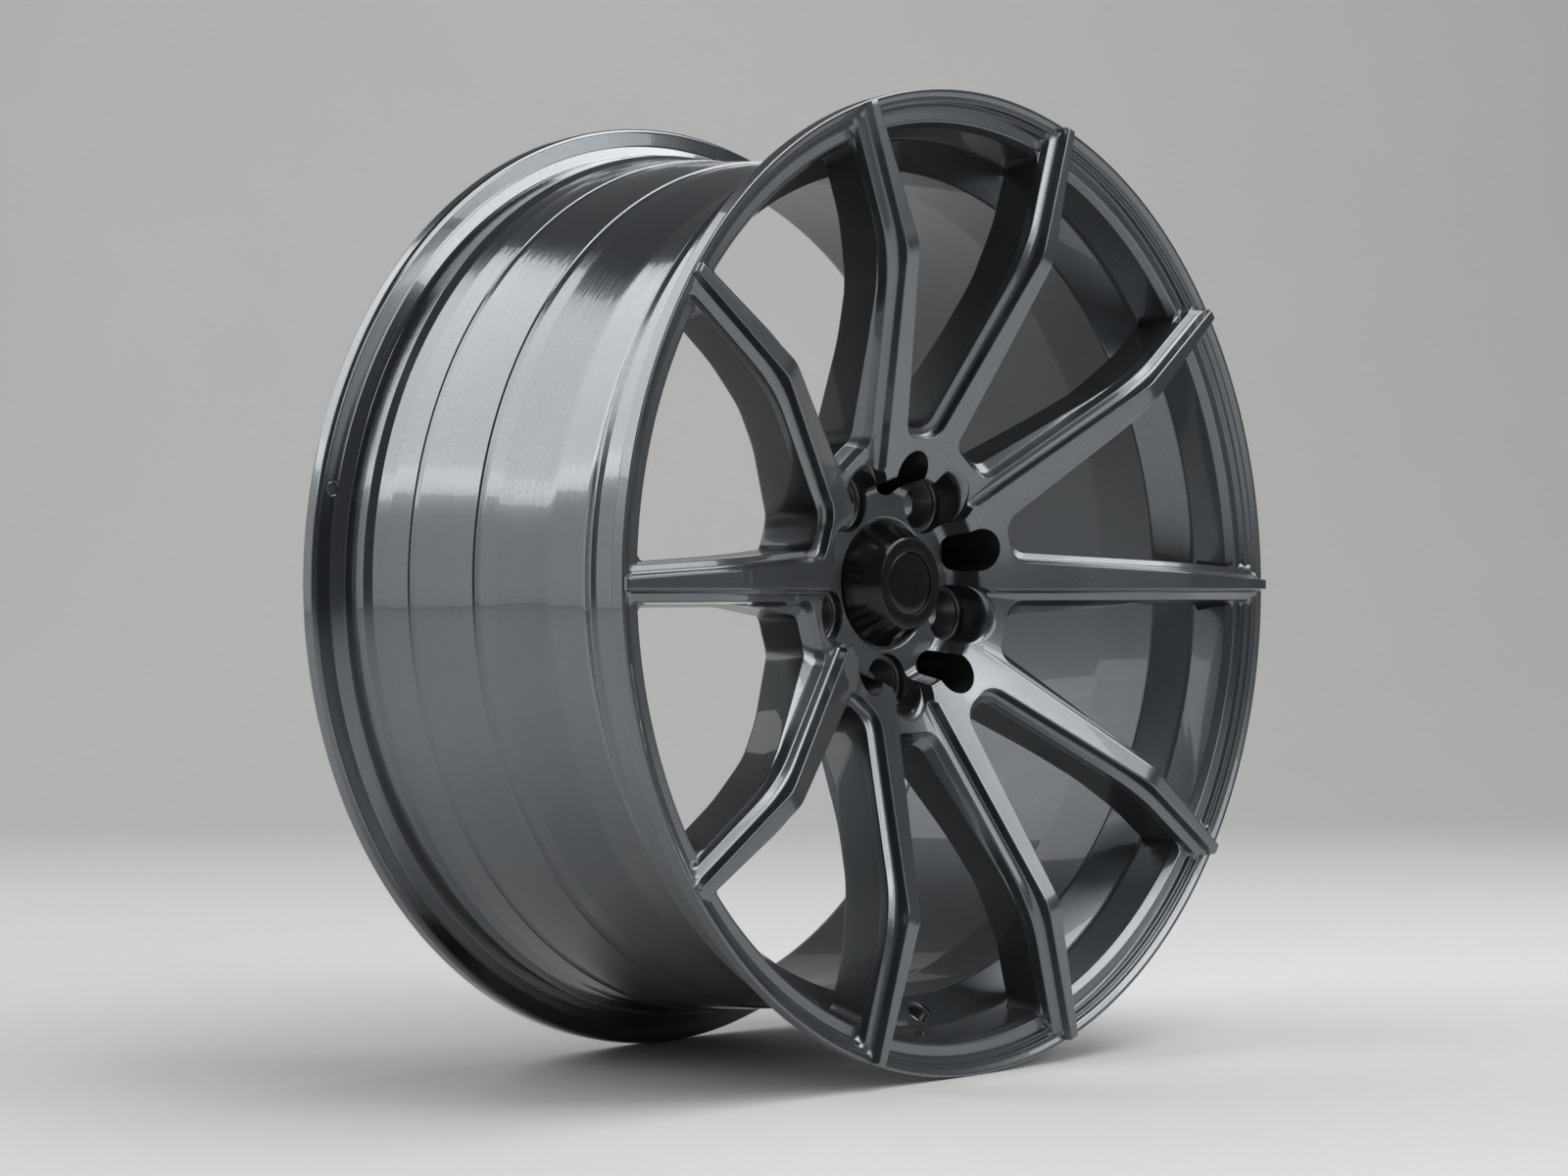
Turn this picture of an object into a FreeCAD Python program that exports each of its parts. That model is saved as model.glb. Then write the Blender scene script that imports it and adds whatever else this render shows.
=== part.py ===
"""Cast alloy road wheel, 20 x 9J, with ten spokes in five pairs and a snap-in centre cap.

Frame: origin on the wheel's axis in the plane of the hub mounting face, the wheel turns about Y, its
styled face looks to -Y and +Z is up. Depths in the sheet count backwards from the front rim plane.
"""
import FreeCAD, Part
import math
import os
import Sketcher
from FreeCAD import Placement, Rotation, Vector

# Driving sizes in millimetres and degrees
NUMBERS = [
    ("origin_depth", 89.3, "front rim plane to the mounting face, where the origin lies"),
    ("pair_count", 5, "spoke pairs, wheel bolts and pockets"),
    ("half_pitch", 18.0, "angle from a window's axis to a spoke"),
    ("cone_tilt", 23.35, "slope of the ledges from the hub to the bend"),
    ("tip_tilt", -2.6, "slope of the ledges from the bend to the rim"),
    ("ledge_apex", 79.0, "depth where the inner ledge plane meets the axis"),
    ("tip_apex", -8.4, "depth where the outer ledge plane meets the axis"),
    ("step_apex", 86.6, "depth where the lower step's plane meets the axis"),
    ("ledge_reach", 45.0, "height cut away over the inner ledges"),
    ("tip_reach", 16.0, "height cut away over the outer ledges"),
    ("side_end", 290.0, "distance along the spoke where the outlines close"),
    ("pair_edge_in", 11.8, "face edge inside a pair at the inner station"),
    ("pair_edge_out", 1.5, "face edge inside a pair where the outline closes"),
    ("valley_edge", 4.1, "face edge between pairs"),
    ("inner_station", 90.0, "where the inner widths are taken"),
    ("pair_root", 83.0, "root of the ledge inside a pair"),
    ("pair_corner", 13.0, "corner radius of that root"),
    ("pair_gap_root", 88.5, "root of the opening inside a pair"),
    ("pair_gap_corner", 9.0, "corner radius of that opening"),
    ("pair_gap_in", 17.9, "opening edge inside a pair at the inner station"),
    ("pair_gap_out", 7.4, "opening edge inside a pair where the outline closes"),
    ("valley_root", 60.0, "inner end of the valley between pairs"),
    ("valley_corner", 9.0, "corner radius of the valley"),
    ("step_root", 85.5, "root of the lower step"),
    ("step_corner", 10.0, "corner radius of the lower step"),
    ("step_edge_in", 11.4, "edge of the lower step at the inner station"),
    ("step_edge_out", 17.6, "edge of the lower step where the outline closes"),
    ("valley_gap_root", 91.0, "root of the opening between pairs"),
    ("valley_gap_corner", 9.0, "corner radius of that opening"),
    ("valley_gap_in", 16.7, "opening edge between pairs at the inner station"),
    ("valley_gap_out", 9.7, "opening edge between pairs where the outline closes"),
    ("bolt_circle_radius", 56.0, "pitch radius of the wheel bolts"),
    ("well_radius", 16.8, "bolt well"),
    ("well_floor", 70.2, "depth of the bolt well's floor"),
    ("seat_radius", 13.0, "large end of the conical seat"),
    ("seat_end", 79.6, "depth of the small end of the conical seat"),
    ("bolt_hole_radius", 7.5, "bolt hole"),
    ("pocket_circle_radius", 62.0, "pitch radius of the round pockets"),
    ("pocket_radius", 12.2, "round pocket between the bolts"),
    ("pocket_floor", 83.5, "depth of the round pocket's floor"),
    ("valve_depth", 37.0, "valve hole on its cone, depth"),
    ("valve_at", 237.4, "valve hole on its cone, radius"),
    ("valve_tilt", 56.7, "valve hole's axis to the wheel's axis"),
    ("valve_radius", 5.75, "valve hole"),
    ("valve_face_radius", 9.0, "spot face round the valve hole"),
    ("valve_face_depth", 1.6, "depth of the spot face under the cone"),
    ("valve_wall", 5.0, "wall that the valve sits in"),
    ("valve_relief_radius", 11.0, "relief round the valve on the tyre side"),
    ("leg_count", 6, "legs of the centre cap"),
    ("leg_slot", 9.0, "gap between the cap's legs"),
    ("leg_slot_top", 67.6, "depth where the gaps between the legs begin"),
    ("cap_end", 74.6, "depth of the legs' ends"),
    ("ring_turn", 346.0, "arc of the split spring ring"),
]

# Section through a spoke and the hub: name, depth, radius
SPOKE = [
    ("pad_in", 64.6, 36.9),
    ("pad_out", 64.6, 54.6),
    ("pad_cove", 61.4, 56.6),
    ("face_in", 45.3, 60.2),
    ("face_bend", -8.0, 190.0),
    ("face_tip", -4.0, 271.3),
    ("tip_back", 7.5, 271.3),
    ("tip_foot", 8.6, 262.0),
    ("root_seat", 14.0, 254.5),
    ("root_wall", 26.0, 249.0),
    ("root_end", 33.0, 244.0),
    ("back_flat", 30.0, 214.0),
    ("back_mid", 35.6, 177.0),
    ("back_bend", 48.8, 145.0),
    ("back_in", 82.8, 86.0),
    ("mount_out", 89.3, 79.0),
    ("mount_in", 89.3, 35.3),
    ("bore_chamfer", 87.3, 33.3),
    ("bore_front", 75.0, 33.3),
    ("groove_back", 75.0, 34.0),
    ("groove_front", 70.4, 34.0),
    ("bore_lip_back", 70.4, 32.0),
    ("bore_lip_front", 66.2, 32.0),
    ("cap_seat", 66.2, 36.9),
]

# Section of the rim, round from the front lip over the inside to the tyre side
RIM = [
    ("lip_edge", 2.4, 271.5),
    ("lip_round", 0.0, 269.3),
    ("lip_in", 0.0, 266.0),
    ("ledge_in", 3.4, 262.8),
    ("step_foot", 7.7, 260.4),
    ("band_in", 7.4, 253.8),
    ("cone_top", 11.5, 251.9),
    ("cone_edge", 28.5, 243.0),
    ("valve_cone_end", 49.4, 229.5),
    ("well_in_end", 86.0, 229.5),
    ("rear_in_seat", 233.0, 246.6),
    ("rear_lip_root", 248.6, 261.0),
    ("rear_lip_edge", 248.6, 271.5),
    ("rear_lip_front", 239.8, 271.5),
    ("rear_wall_foot", 238.6, 261.0),
    ("rear_seat_out", 233.0, 254.7),
    ("rear_seat_in", 218.0, 253.9),
    ("rear_hump_foot", 213.0, 250.9),
    ("ramp_foot", 90.0, 236.4),
    ("drop_front", 62.0, 236.4),
    ("front_hump", 41.5, 254.9),
    ("front_seat_in", 37.0, 253.8),
    ("front_seat_out", 17.0, 254.7),
    ("front_wall_foot", 10.4, 261.0),
    ("lip_back", 8.6, 271.5),
]

# Section of the centre cap
CAP = [
    ("cap_disc_seat", 48.0, 17.9),
    ("cap_lip_in", 46.0, 17.9),
    ("cap_lip_out", 46.0, 25.1),
    ("cap_flank", 64.2, 36.2),
    ("cap_rim", 66.2, 36.2),
    ("leg_top", 66.2, 31.6),
    ("barb_foot", 70.6, 31.6),
    ("barb_out", 70.6, 33.2),
    ("leg_end_out", 74.6, 30.9),
    ("leg_end_in", 74.6, 29.35),
    ("leg_in_top", 57.4, 29.35),
    ("cap_wall_in", 50.4, 25.0),
    ("cap_top_in", 50.4, 0.0),
    ("cap_middle", 48.0, 0.0),
]

# Section of the flat spring ring
RING = [
    ("ring_front_in", 70.5, 28.35),
    ("ring_front_out", 70.5, 29.35),
    ("ring_back_out", 72.5, 29.35),
    ("ring_back_in", 72.5, 28.35),
]

# Section of the cap disc
DISC = [
    ("disc_middle", 46.5, 0.0),
    ("disc_edge_front", 46.5, 17.7),
    ("disc_edge_back", 48.0, 17.7),
    ("disc_back", 48.0, 0.0),
]

doc = FreeCAD.newDocument("alloy_wheel")
sheet = doc.addObject("Spreadsheet::Sheet", "sizes")


def fill_sheet():
    """Write every driving size into the sheet under its alias."""
    cells = list(NUMBERS)
    for section in (SPOKE, RIM, CAP, RING, DISC):
        for name, depth, radius in section:
            cells.append((name + "_y", depth, name + ", depth"))
            cells.append((name + "_r", radius, name + ", radius"))
    for row, (alias, value, note) in enumerate(cells, 1):
        sheet.set("A%d" % row, note)
        sheet.set("B%d" % row, str(value))
        sheet.setAlias("B%d" % row, alias)
    doc.recompute()


def size(alias):
    """Value of a sheet cell."""
    return float(sheet.get(alias))


def origin_item(body, role):
    """Origin plane or axis of a body, by its role."""
    return [item for item in body.Origin.OriginFeatures if item.Role == role][0]


def new_body(label):
    """Empty body with its own label and placement."""
    body = doc.addObject("PartDesign::Body", label)
    body.Label = label
    body.Placement = Placement()
    return body


def new_sketch(body, name, role):
    """Sketch on one of the body's origin planes."""
    sketch = body.newObject("Sketcher::SketchObject", name)
    sketch.AttachmentSupport = [(origin_item(body, role), "")]
    sketch.MapMode = "FlatFace"
    return sketch


def bind(sketch, constraint, expression):
    """Add a dimension to a sketch and tie it to the sheet."""
    index = sketch.addConstraint(constraint)
    sketch.setExpression("Constraints[%d]" % index, expression)


def section_sketch(body, name, section):
    """Closed section in the plane through the axis, every corner tied to the sheet."""
    sketch = new_sketch(body, name, "YZ_Plane")
    datum = size("origin_depth")
    corners = [Vector(size(n + "_y") - datum, size(n + "_r"), 0) for n, _, _ in section]
    count = len(corners)
    sketch.addGeometry([Part.LineSegment(corners[i], corners[(i + 1) % count]) for i in range(count)])
    links = [Sketcher.Constraint("Coincident", i, 2, (i + 1) % count, 1) for i in range(count)]
    sketch.addConstraint(links)
    for i, (corner, _, radius) in enumerate(section):
        across = Sketcher.Constraint("DistanceX", -1, 1, i, 1, corners[i].x)
        bind(sketch, across, "sizes.%s_y - sizes.origin_depth" % corner)
        if radius == 0:
            sketch.addConstraint(Sketcher.Constraint("PointOnObject", i, 1, -1))
        else:
            up = Sketcher.Constraint("DistanceY", -1, 1, i, 1, corners[i].y)
            bind(sketch, up, "sizes.%s_r" % corner)
    return sketch


def revolve(body, name, sketch):
    """Full turn of a section about the wheel's axis."""
    feature = body.newObject("PartDesign::Revolution", name)
    feature.Profile = sketch
    feature.ReferenceAxis = (sketch, ["H_Axis"])
    feature.Angle = 360
    return feature


def pattern(body, name, features, count):
    """Repeat features round the wheel's axis."""
    feature = body.newObject("PartDesign::PolarPattern", name)
    feature.Originals = features
    feature.Axis = (origin_item(body, "Y_Axis"), [""])
    feature.Angle = 360
    feature.setExpression("Occurrences", "sizes.%s" % count)
    body.Tip = feature
    return feature


def edge_point(along, offset):
    """Point beside a spoke's middle line, seen from the front with the window's axis upright."""
    turn = math.radians(size("half_pitch"))
    x = along * math.sin(turn) - offset * math.cos(turn)
    up = along * math.cos(turn) + offset * math.sin(turn)
    return x, up


def window_outline(sketch, tilt, root, corner, edge_in, edge_out):
    """Outline of a window between two spokes, symmetric, with a rounded root and straight sides."""
    stretch = 1.0 / math.cos(math.radians(tilt))
    inner = edge_point(size("inner_station"), size(edge_in))
    outer = edge_point(size("side_end"), size(edge_out))
    inner = Vector(inner[0], inner[1] * stretch, 0)
    outer = Vector(outer[0], outer[1] * stretch, 0)
    lean = math.atan2(outer.x - inner.x, outer.y - inner.y)
    low = size(root) * stretch
    radius = size(corner)
    meet = inner.x - (inner.y - low) * math.tan(lean)
    reach = radius * math.tan((math.pi / 2 - lean) / 2)
    foot = Vector(meet - reach, low, 0)
    rise = Vector(meet + reach * math.sin(lean), low + reach * math.cos(lean), 0)
    middle = Vector(foot.x, low + radius, 0)
    mirror = Vector(-1, 1, 1)
    left = [Vector(p.x * mirror.x, p.y, 0) for p in (outer, rise, foot, middle)]
    right_arc = Part.Circle(middle, Vector(0, 0, 1), radius)
    left_arc = Part.Circle(left[3], Vector(0, 0, 1), radius)
    sketch.addGeometry([
        Part.LineSegment(outer, rise),
        Part.ArcOfCircle(right_arc, -math.pi / 2, -lean),
        Part.LineSegment(foot, left[2]),
        Part.ArcOfCircle(left_arc, math.pi + lean, 1.5 * math.pi),
        Part.LineSegment(left[1], left[0]),
        Part.LineSegment(left[0], outer),
    ])
    sketch.addConstraint([
        Sketcher.Constraint("Tangent", 0, 2, 1, 2),
        Sketcher.Constraint("Tangent", 1, 1, 2, 1),
        Sketcher.Constraint("Tangent", 2, 2, 3, 2),
        Sketcher.Constraint("Tangent", 3, 1, 4, 1),
        Sketcher.Constraint("Coincident", 4, 2, 5, 1),
        Sketcher.Constraint("Coincident", 5, 2, 0, 1),
        Sketcher.Constraint("Symmetric", 0, 1, 4, 2, -2),
        Sketcher.Constraint("Symmetric", 2, 1, 2, 2, -2),
        Sketcher.Constraint("Equal", 1, 3),
        Sketcher.Constraint("DistanceX", -1, 1, 0, 1, outer.x),
        Sketcher.Constraint("DistanceY", -1, 1, 0, 1, outer.y),
        Sketcher.Constraint("Angle", -2, 1, 0, 2, -lean),
    ])
    bind(sketch, Sketcher.Constraint("Radius", 1, radius), "sizes.%s" % corner)
    depth = Sketcher.Constraint("DistanceY", -1, 1, 2, 1, low)
    bind(sketch, depth, "sizes.%s / cos(%r deg)" % (root, tilt))


def ledge(body, name, turn, tilt, apex, reach, outline):
    """Cut away what stands in front of a sloped ledge plane inside a window outline."""
    sketch = new_sketch(body, name + "_outline", "XZ_Plane")
    lift = Vector(0, 0, size("origin_depth") - size(apex))
    spin = Rotation(Vector(0, 0, 1), turn)
    lean = Rotation(Vector(1, 0, 0), size(tilt))
    sketch.AttachmentOffset = Placement(lift, spin.multiply(lean))
    sketch.setExpression("AttachmentOffset.Base.z", "sizes.origin_depth - sizes.%s" % apex)
    window_outline(sketch, size(tilt), *outline)
    feature = body.newObject("PartDesign::Pocket", name)
    feature.Profile = sketch
    feature.Type = 0
    feature.Reversed = True
    feature.setExpression("Length", "sizes.%s" % reach)
    return feature


def opening(body, name, turn, outline):
    """Window cut right through the spoke disc."""
    sketch = new_sketch(body, name + "_outline", "XZ_Plane")
    sketch.AttachmentOffset = Placement(Vector(0, 0, 0), Rotation(Vector(0, 0, 1), turn))
    window_outline(sketch, 0.0, *outline)
    feature = body.newObject("PartDesign::Pocket", name)
    feature.Profile = sketch
    feature.Type = 1
    feature.Midplane = True
    return feature


def turned_cut(body, name, corners, axis):
    """Groove about an axis line in the plane through the wheel's axis. Corners hold expressions."""
    sketch = new_sketch(body, name + "_section", "YZ_Plane")
    count = len(corners)
    points = [Vector(x, y, 0) for x, y in corners]
    sketch.addGeometry([Part.LineSegment(points[i], points[(i + 1) % count]) for i in range(count)])
    sketch.addConstraint([Sketcher.Constraint("Coincident", i, 2, (i + 1) % count, 1) for i in range(count)])
    sketch.addConstraint([Sketcher.Constraint("Block", i) for i in range(count)])
    line = sketch.addGeometry(Part.LineSegment(axis[0], axis[1]), True)
    sketch.addConstraint(Sketcher.Constraint("Block", line))
    feature = body.newObject("PartDesign::Groove", name)
    feature.Profile = sketch
    feature.ReferenceAxis = (sketch, ["Axis0"])
    feature.Angle = 360
    return feature


def make_wheel():
    """Casting: spoke disc, ledges and openings, rim, then the hub's machining."""
    body = new_body("wheel")
    revolve(body, "spoke_disc", section_sketch(body, "spoke_section", SPOKE))

    # Windows inside the pairs: one ledge round the opening
    inside = ("pair_root", "pair_corner", "pair_edge_in", "pair_edge_out")
    inside_gap = ("pair_gap_root", "pair_gap_corner", "pair_gap_in", "pair_gap_out")
    cuts = [
        ledge(body, "pair_ledge", 0, "cone_tilt", "ledge_apex", "ledge_reach", inside),
        ledge(body, "pair_tip_ledge", 0, "tip_tilt", "tip_apex", "tip_reach", inside),
        opening(body, "pair_opening", 0, inside_gap),
    ]

    # Windows between the pairs: a valley from the bolt well and a second, lower step
    between = ("valley_root", "valley_corner", "valley_edge", "valley_edge")
    between_step = ("step_root", "step_corner", "step_edge_in", "step_edge_out")
    between_gap = ("valley_gap_root", "valley_gap_corner", "valley_gap_in", "valley_gap_out")
    turn = 2 * size("half_pitch")
    cuts += [
        ledge(body, "valley_ledge", turn, "cone_tilt", "ledge_apex", "ledge_reach", between),
        ledge(body, "valley_tip_ledge", turn, "tip_tilt", "tip_apex", "tip_reach", between),
        ledge(body, "valley_step", turn, "cone_tilt", "step_apex", "ledge_reach", between_step),
        opening(body, "valley_opening", turn, between_gap),
    ]
    pattern(body, "windows", cuts, "pair_count")

    # Rim with flanges, bead seats, humps and the drop well
    revolve(body, "rim", section_sketch(body, "rim_section", RIM))

    # Bolt wells with conical seats, below the axis and then all round
    datum = size("origin_depth")
    low = -size("bolt_circle_radius")
    well = low - size("well_radius")
    seat = low - size("seat_radius")
    hole = low - size("bolt_hole_radius")
    front = size("face_bend_y") - datum
    rear = size("mount_out_y") - datum + 5
    bolt = turned_cut(body, "bolt_well", [
        (front, low),
        (front, well),
        (size("well_floor") - datum, well),
        (size("well_floor") - datum, seat),
        (size("seat_end") - datum, hole),
        (rear, hole),
        (rear, low),
    ], (Vector(front, low, 0), Vector(rear, low, 0)))

    # Round pockets between the bolts
    sketch = new_sketch(body, "hub_pocket_outline", "XZ_Plane")
    sketch.setExpression("AttachmentOffset.Base.z", "sizes.origin_depth - sizes.pocket_floor")
    centre = Vector(0, size("pocket_circle_radius"), 0)
    sketch.addGeometry(Part.Circle(centre, Vector(0, 0, 1), size("pocket_radius")))
    sketch.addConstraint(Sketcher.Constraint("PointOnObject", 0, 3, -2))
    bind(sketch, Sketcher.Constraint("DistanceY", -1, 1, 0, 3, centre.y), "sizes.pocket_circle_radius")
    bind(sketch, Sketcher.Constraint("Radius", 0, size("pocket_radius")), "sizes.pocket_radius")
    pocket = body.newObject("PartDesign::Pocket", "hub_pocket")
    pocket.Profile = sketch
    pocket.Reversed = True
    pocket.setExpression("Length", "sizes.pocket_floor - sizes.face_bend_y")
    pattern(body, "hub_machining", [bolt, pocket], "pair_count")

    # Valve hole square to the cone behind the front rim, with its spot face on the inside
    tilt = math.radians(size("valve_tilt"))
    along = Vector(math.cos(tilt), -math.sin(tilt), 0)
    across = Vector(math.sin(tilt), math.cos(tilt), 0)
    at = Vector(size("valve_depth") - datum, -size("valve_at"), 0)
    outline = []
    face = size("valve_face_depth")
    back = face + size("valve_wall")
    relief = size("valve_relief_radius")
    spot = size("valve_face_radius")
    bore = size("valve_radius")
    steps = [
        (-12, 0),
        (-12, spot),
        (face, spot),
        (face, bore),
        (back, bore),
        (back, relief),
        (26, relief),
        (26, 0),
    ]
    for step, width in steps:
        point = at + along * step + across * width
        outline.append((point.x, point.y))
    turned_cut(body, "valve_hole", outline, (at - along * 12, at + along * 26))
    return body


def make_cap():
    """Hollow cap with a cone flank, a recessed front and barbed legs."""
    body = new_body("center_cap")
    revolve(body, "cap_shell", section_sketch(body, "cap_section", CAP))
    sketch = new_sketch(body, "leg_gap_outline", "XZ_Plane")
    sketch.setExpression("AttachmentOffset.Base.z", "sizes.origin_depth - sizes.leg_slot_top")
    side = size("leg_slot") / 2
    low = size("leg_in_top_r") - 6
    high = size("barb_out_r") + 2
    sketch.addGeometry([
        Part.LineSegment(Vector(-side, low, 0), Vector(side, low, 0)),
        Part.LineSegment(Vector(side, low, 0), Vector(side, high, 0)),
        Part.LineSegment(Vector(side, high, 0), Vector(-side, high, 0)),
        Part.LineSegment(Vector(-side, high, 0), Vector(-side, low, 0)),
    ])
    sketch.addConstraint([Sketcher.Constraint("Coincident", i, 2, (i + 1) % 4, 1) for i in range(4)])
    sketch.addConstraint([
        Sketcher.Constraint("Vertical", 1),
        Sketcher.Constraint("Horizontal", 2),
        Sketcher.Constraint("Symmetric", 0, 1, 0, 2, -2),
        Sketcher.Constraint("Vertical", 3),
    ])
    bind(sketch, Sketcher.Constraint("DistanceX", 0, 1, 0, 2, 2 * side), "sizes.leg_slot")
    bind(sketch, Sketcher.Constraint("DistanceY", -1, 1, 0, 1, low), "sizes.leg_in_top_r - 6")
    bind(sketch, Sketcher.Constraint("DistanceY", -1, 1, 2, 1, high), "sizes.barb_out_r + 2")
    gap = body.newObject("PartDesign::Pocket", "leg_gap")
    gap.Profile = sketch
    gap.setExpression("Length", "sizes.cap_end - sizes.leg_slot_top + 2")
    pattern(body, "leg_gaps", [gap], "leg_count")
    return body


def make_disc():
    """Thin blank disc in the cap's recess."""
    body = new_body("cap_emblem_disc")
    revolve(body, "disc_turn", section_sketch(body, "disc_section", DISC))
    return body


def make_ring():
    """Flat split spring ring inside the cap's legs."""
    body = new_body("cap_retaining_ring")
    feature = revolve(body, "ring_turn", section_sketch(body, "ring_section", RING))
    feature.setExpression("Angle", "sizes.ring_turn")
    return body


def check(parts):
    """Stop before anything is written if an object failed or a shape isn't one valid solid."""
    for item in doc.Objects:
        if "Invalid" in item.State or "Error" in item.State:
            raise RuntimeError("%s failed: %s" % (item.Label, item.State))
    for part in parts:
        shape = part.Shape
        if shape.isNull() or not shape.isValid():
            raise RuntimeError("%s has no valid shape" % part.Label)
        if len(shape.Solids) != 1:
            raise RuntimeError("%s has %d solids" % (part.Label, len(shape.Solids)))
        print("%s: %.0f mm3, %d faces" % (part.Label, shape.Volume, len(shape.Faces)))


fill_sheet()
PARTS = [make_wheel(), make_cap(), make_disc(), make_ring()]
doc.recompute()
check(PARTS)
os.makedirs("parts", exist_ok=True)
for part in PARTS:
    part.Shape.exportStep("parts/%s.step" % part.Label)
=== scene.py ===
import math

import bmesh
import bpy
import numpy as np
from mathutils import Matrix, Vector


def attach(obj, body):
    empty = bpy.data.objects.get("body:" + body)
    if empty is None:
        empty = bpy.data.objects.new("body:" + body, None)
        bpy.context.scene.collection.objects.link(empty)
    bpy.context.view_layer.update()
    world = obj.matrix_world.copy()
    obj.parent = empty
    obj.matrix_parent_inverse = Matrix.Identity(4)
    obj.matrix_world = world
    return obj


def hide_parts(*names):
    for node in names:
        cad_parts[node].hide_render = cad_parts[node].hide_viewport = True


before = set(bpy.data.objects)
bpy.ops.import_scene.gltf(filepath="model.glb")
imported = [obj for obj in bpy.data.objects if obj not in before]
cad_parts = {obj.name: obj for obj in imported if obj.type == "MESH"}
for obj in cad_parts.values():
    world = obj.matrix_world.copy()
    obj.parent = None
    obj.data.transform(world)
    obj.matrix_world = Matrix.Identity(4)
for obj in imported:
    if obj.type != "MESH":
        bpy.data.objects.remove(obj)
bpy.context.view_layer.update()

# Lengths of the wheel and cap are in millimetres, those of the stage in metres. Depth counts
# backwards from the front rim plane, and the hub's mounting face is the frame's origin.
PER_METRE = 1000.0
MOUNT_FACE = 89.3

# the casting's three finishes, by material slot; the third is a thinner, rougher coat with paint
# at half tone, painted shade in recesses and inside the barrel
FULL_COAT, TURNED, SHADED_THIN_COAT = 0, 1, 2

SPOKES = 10
SPOKE_STEP = 36.0
HALF_PITCH = math.radians(SPOKE_STEP / 2)
ACROSS = 14  # quads across a spoke's face

# radius and depth of a spoke's face and back, with the reach over which their bends are eased
FACE = [(50.0, 49.49), (190.0, -8.0), (272.0, -3.97)]
FACE_EASE = 5.0
LEDGE_EASE, LEDGE_MOST = 2.2, 9.0  # further ease for each millimetre below the face
BACK = [
    (86.0, 82.8),
    (145.0, 48.8),
    (177.0, 35.6),
    (212.0, 30.0),
    (236.0, 31.0),
    (280.0, 31.0),
]
BACK_EASE = 9.0
TIP_START, TIP_ROUND = 269.9, 1.4  # the face rounds over from this radius on

# distances along a spoke: two where a window's side is straight, and the ends of the bend
STRAIGHT = (92.0, 125.0)
BEND_OUTER, BEND_INNER = 205.0, 175.0
SQUARE_END = 6.0  # length of close points where a rail has no flare
DEEP_FLARE = 8.0

# points along a rail, part by part from the rim to the window's axis
TIP_POINTS, OUTER_POINTS, BEND_POINTS, INNER_POINTS = 9, 10, 13, 17
CORNER_POINTS, ROOT_POINTS = 11, 7

# a root corner too wide for its window shrinks by steps until its centre clears the axis
CORNER_CLEAR, CORNER_LEAST, CORNER_SHRINK = 0.4, 1.0, 0.94

# the window in a pair: half its width at a distance along the spoke, taper, root and corner
PAIR_HALF, PAIR_FROM, PAIR_TAPER = 11.6, 90.0, 0.0541
PAIR_ROOT, ROOT_GROWTH = 80.6, 1.05
PAIR_CORNER, CORNER_LOSS, PAIR_DEEP_CORNER = 13.0, 0.5, 9.5

# added half width, depth below the face, outer end, flare
PAIR_UPPER = [
    (-0.55, 0.0, 271.3, 0.0),
    (-0.15, 0.1, 271.3, 0.0),
    (0.12, 0.38, 271.3, 0.0),
    (0.28, 0.85, 271.3, 0.0),
    (1.15, 4.7, 270.6, 0.0),
    (1.6, 5.6, 267.4, 4.5),
    (2.4, 6.35, 267.2, 4.5),
    (3.6, 6.9, 266.8, 4.5),
    (5.6, 7.5, 265.3, 5.5),
    (6.0, 7.72, 265.1, 5.5),
    (6.25, 8.15, 264.9, 6.0),
    (6.4, 8.9, 264.5, 6.0),
    (6.6, 12.3, 260.9, 6.5),
    (6.68, 12.9, 254.3, 8.0),
]
# added half width, height over the back, outer end
PAIR_LOW = [
    (7.2, 2.0, 248.6),
    (7.0, 0.8, 248.4),
    (6.5, 0.15, 248.2),
    (5.6, 0.0, 248.1),
]
PAIR_BETWEEN = (0.25, 0.5, 0.75)  # rails on the deep wall between the two

# the window over a bolt well: its side, and how its wide rails fade along the spoke
VALLEY_SIDE = 3.7
FADE_FROM, FADE_SHARE = 7.0, 0.5
FADE_ALONG, FADE_SHIFT = [140, 170, 195], [0.0, 1.5, 2.0]
STEP_ALONG, STEP_SHIFT, STEP_LATE = [80, 140, 170, 195], [4.6, 0.8, -1.6], -1.6
STEP_END, STEP_CORNER = 253.7, 8.6
LOWER_ALONG, LOWER_DEPTH = [80, 140, 165], [4.4, 0.8, 0.3]
VALLEY_DEEP_CORNER = 8.4

# added half width, depth below the face, outer end, flare, root, root corner
VALLEY_UPPER = [
    (-0.55, 0.0, 271.3, 0.0, 61.8, 9.0),
    (-0.15, 0.1, 271.3, 0.0, 62.0, 8.8),
    (0.12, 0.38, 271.3, 0.0, 62.2, 8.6),
    (0.28, 0.85, 271.3, 0.0, 62.4, 8.4),
    (1.15, 4.7, 270.6, 0.0, 63.0, 8.0),
    (1.6, 5.6, 267.4, 4.5, 63.4, 7.6),
    (2.4, 6.35, 267.2, 4.5, 64.0, 7.2),
    (3.6, 6.9, 266.8, 4.5, 65.0, 6.8),
    (5.6, 7.5, 265.3, 5.5, 83.0, 10.5),
    (6.0, 7.72, 265.1, 5.5, 83.4, 10.3),
    (6.3, 8.2, 264.9, 6.0, 83.8, 10.1),
    (6.6, 8.9, 264.5, 6.0, 84.1, 10.0),
    (8.3, 12.3, 260.9, 6.5, 86.0, 9.7),
    (9.0, 13.2, 254.2, 8.0, 86.6, 9.5),
    (9.4, 13.8, 253.9, 8.0, 87.2, 9.3),
]
# added half width, depth below the face, root, shift past the bend
VALLEY_STEP = [
    (9.6, 14.0, 90.2, -2.5),
    (9.9, 14.3, 90.6, -2.75),
    (10.05, 15.0, 90.9, -2.8),
]
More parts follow.
